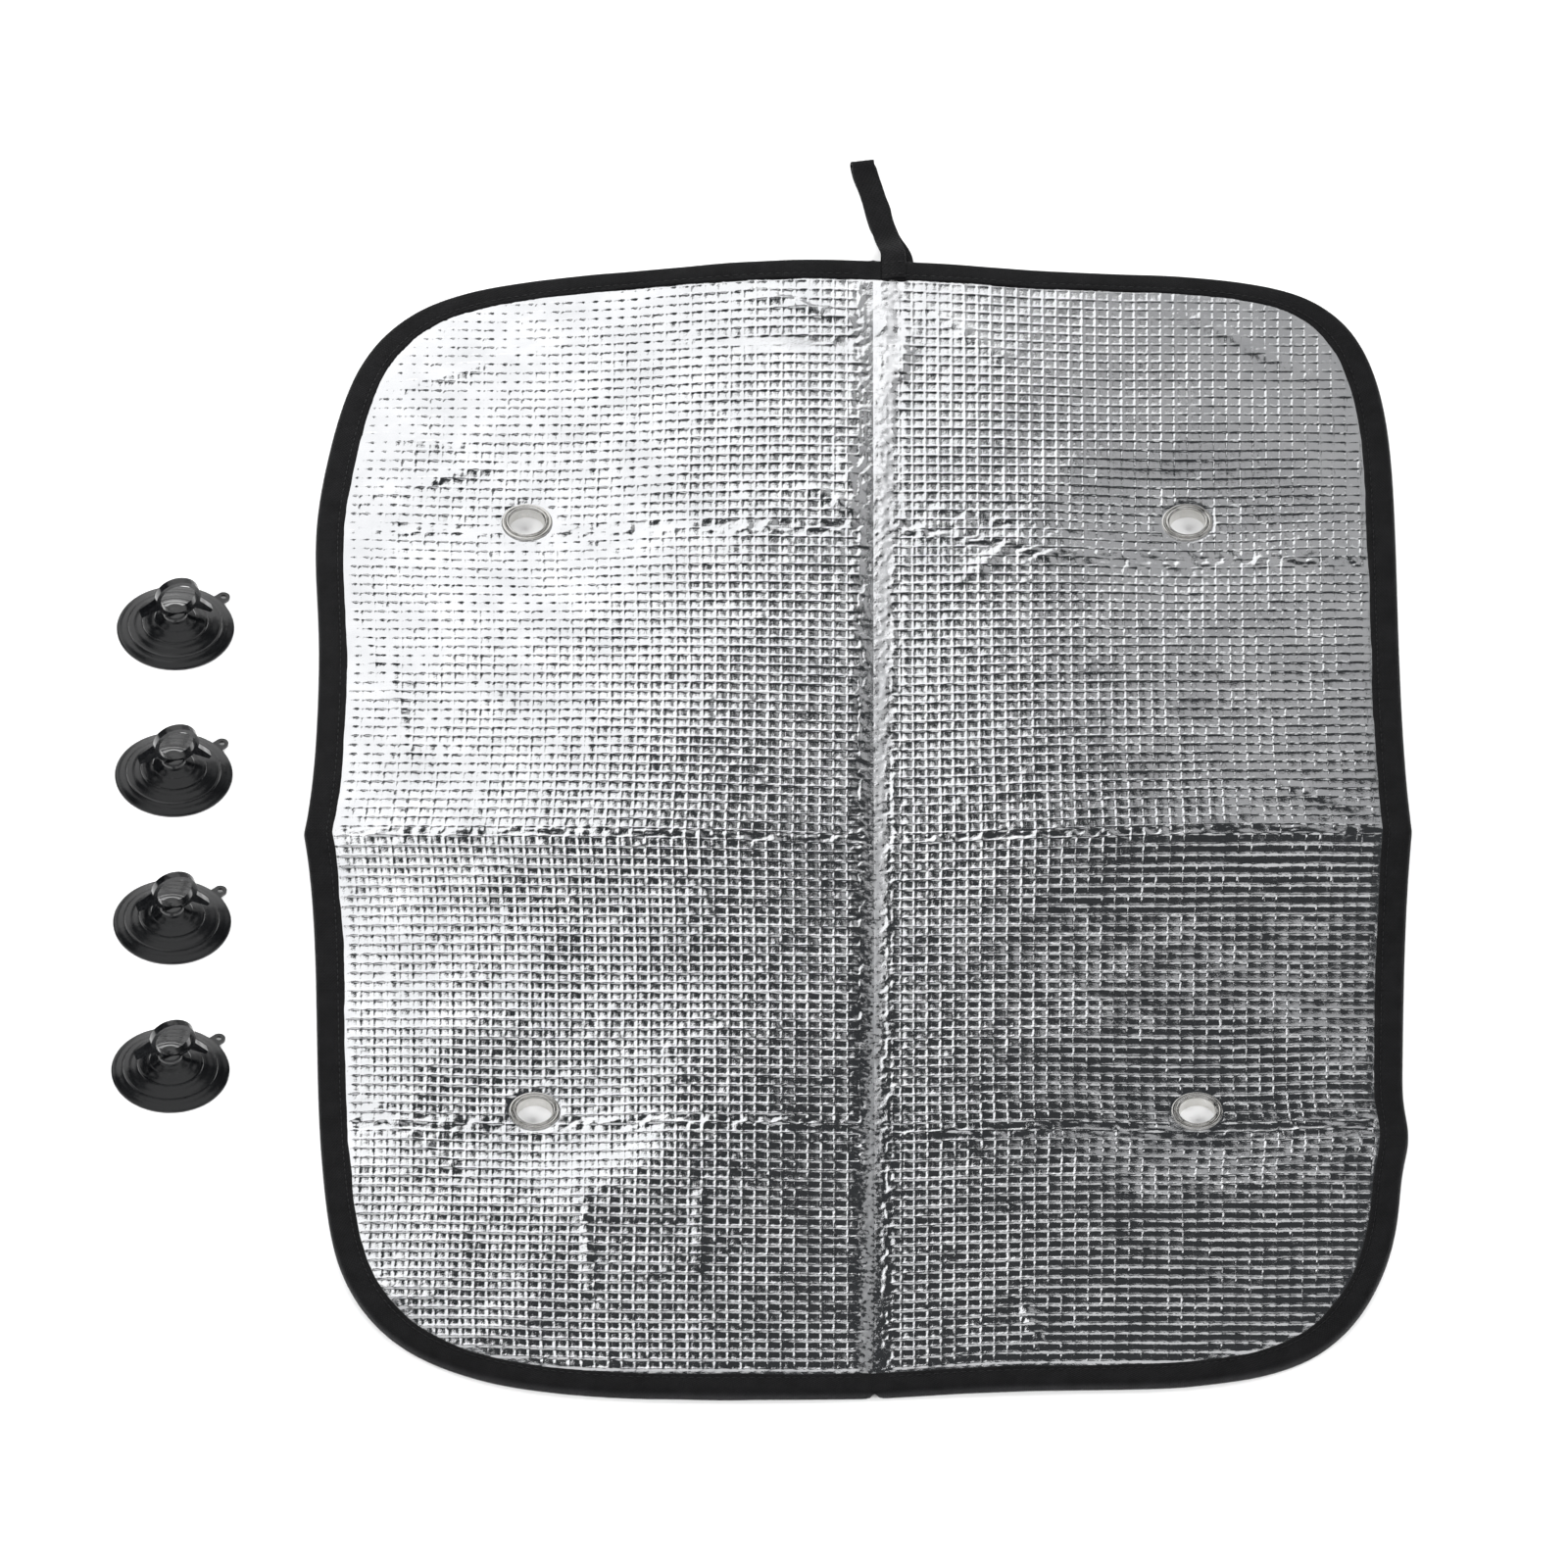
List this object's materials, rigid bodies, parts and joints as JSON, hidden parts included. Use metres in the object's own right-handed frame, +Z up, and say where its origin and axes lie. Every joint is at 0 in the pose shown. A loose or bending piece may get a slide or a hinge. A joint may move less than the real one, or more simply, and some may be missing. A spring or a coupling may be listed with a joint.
{
  "type": "foldable foil insulating pad",
  "caption": "Foldable foam pad faced with embossed foil, bound at the edge, with metal eyelets, a hang loop and loose suction cups.",
  "frame": {"origin": "on the back face of the pad, at the middle of its width and length; z = 0 is the surface that the pad and the cups lie on", "axes": "+X to the right across the short side, +Y along the length towards the hang loop, +Z up out of the front face"},
  "size_m": [0.4885, 0.665, 0.0257],
  "materials": {
    "film": "square-embossed aluminised film, shiny and crinkled",
    "foam": "white closed-cell foam",
    "binding_tape": "black woven tape, sewn on",
    "webbing": "black woven webbing",
    "eyelet_metal": "bright nickel plate",
    "cup_pvc": "glossy black soft PVC"
  },
  "bodies": {
    "panel_left_1": {"foam_left_1": "foam", "front_film_left_1": "film", "back_film_left_1": "film", "binding_left_1": "binding_tape", "eyelet_upper_left": "eyelet_metal", "washer_upper_left": "eyelet_metal"},
    "panel_left_2": {"foam_left_2": "foam", "front_film_left_2": "film", "back_film_left_2": "film", "binding_left_2": "binding_tape"},
    "panel_left_3": {"foam_left_3": "foam", "front_film_left_3": "film", "back_film_left_3": "film", "binding_left_3": "binding_tape", "eyelet_lower_left": "eyelet_metal", "washer_lower_left": "eyelet_metal"},
    "panel_left_4": {"foam_left_4": "foam", "front_film_left_4": "film", "back_film_left_4": "film", "binding_left_4": "binding_tape"},
    "panel_right_1": {"foam_right_1": "foam", "front_film_right_1": "film", "back_film_right_1": "film", "binding_right_1": "binding_tape", "eyelet_upper_right": "eyelet_metal", "washer_upper_right": "eyelet_metal", "hang_loop": "webbing"},
    "panel_right_2": {"foam_right_2": "foam", "front_film_right_2": "film", "back_film_right_2": "film", "binding_right_2": "binding_tape"},
    "panel_right_3": {"foam_right_3": "foam", "front_film_right_3": "film", "back_film_right_3": "film", "binding_right_3": "binding_tape", "eyelet_lower_right": "eyelet_metal", "washer_lower_right": "eyelet_metal"},
    "panel_right_4": {"foam_right_4": "foam", "front_film_right_4": "film", "back_film_right_4": "film", "binding_right_4": "binding_tape"},
    "cup_1": {"suction_cup_1": "cup_pvc"},
    "cup_2": {"suction_cup_2": "cup_pvc"},
    "cup_3": {"suction_cup_3": "cup_pvc"},
    "cup_4": {"suction_cup_4": "cup_pvc"}
  },
  "joints": [
    {"name": "lengthwise_fold", "type": "hinge", "parent": "panel_right_1", "child": "panel_left_1", "pos_m": [0.0065, 0.226, 0.00415], "axis": [0, -1, 0], "range_deg": [-165, 0]},
    {"name": "crease_1_left", "type": "hinge", "parent": "panel_left_1", "child": "panel_left_2", "pos_m": [-0.1, 0.146, 0.0085], "axis": [-1, 0, 0], "range_deg": [0, 170]},
    {"name": "crease_2_left", "type": "hinge", "parent": "panel_left_2", "child": "panel_left_3", "pos_m": [-0.1, -0.01, -0.002], "axis": [-1, 0, 0], "range_deg": [-170, 0]},
    {"name": "crease_3_left", "type": "hinge", "parent": "panel_left_3", "child": "panel_left_4", "pos_m": [-0.1, -0.171, 0.0085], "axis": [-1, 0, 0], "range_deg": [0, 170]},
    {"name": "crosswise_fold", "type": "hinge", "parent": "panel_right_1", "child": "panel_right_2", "pos_m": [0.107, 0.146, 0.0085], "axis": [-1, 0, 0], "range_deg": [0, 170]},
    {"name": "crease_2_right", "type": "hinge", "parent": "panel_right_2", "child": "panel_right_3", "pos_m": [0.107, -0.01, -0.002], "axis": [-1, 0, 0], "range_deg": [-170, 0]},
    {"name": "crease_3_right", "type": "hinge", "parent": "panel_right_3", "child": "panel_right_4", "pos_m": [0.107, -0.171, 0.0085], "axis": [-1, 0, 0], "range_deg": [0, 170]},
    {"name": "cup_1_lift", "type": "slide", "parent": "panel_right_1", "child": "cup_1", "axis": [0, 0, 1], "range_m": [0, 0.08]},
    {"name": "cup_2_lift", "type": "slide", "parent": "panel_right_1", "child": "cup_2", "axis": [0, 0, 1], "range_m": [0, 0.08]},
    {"name": "cup_3_lift", "type": "slide", "parent": "panel_right_1", "child": "cup_3", "axis": [0, 0, 1], "range_m": [0, 0.08]},
    {"name": "cup_4_lift", "type": "slide", "parent": "panel_right_1", "child": "cup_4", "axis": [0, 0, 1], "range_m": [0, 0.08]}
  ],
  "couplings": [
    {"joint": "crease_1_left", "follows": "crosswise_fold", "ratio": 1},
    {"joint": "crease_2_left", "follows": "crosswise_fold", "ratio": -1},
    {"joint": "crease_3_left", "follows": "crosswise_fold", "ratio": 1},
    {"joint": "crease_2_right", "follows": "crosswise_fold", "ratio": -1},
    {"joint": "crease_3_right", "follows": "crosswise_fold", "ratio": 1}
  ]
}
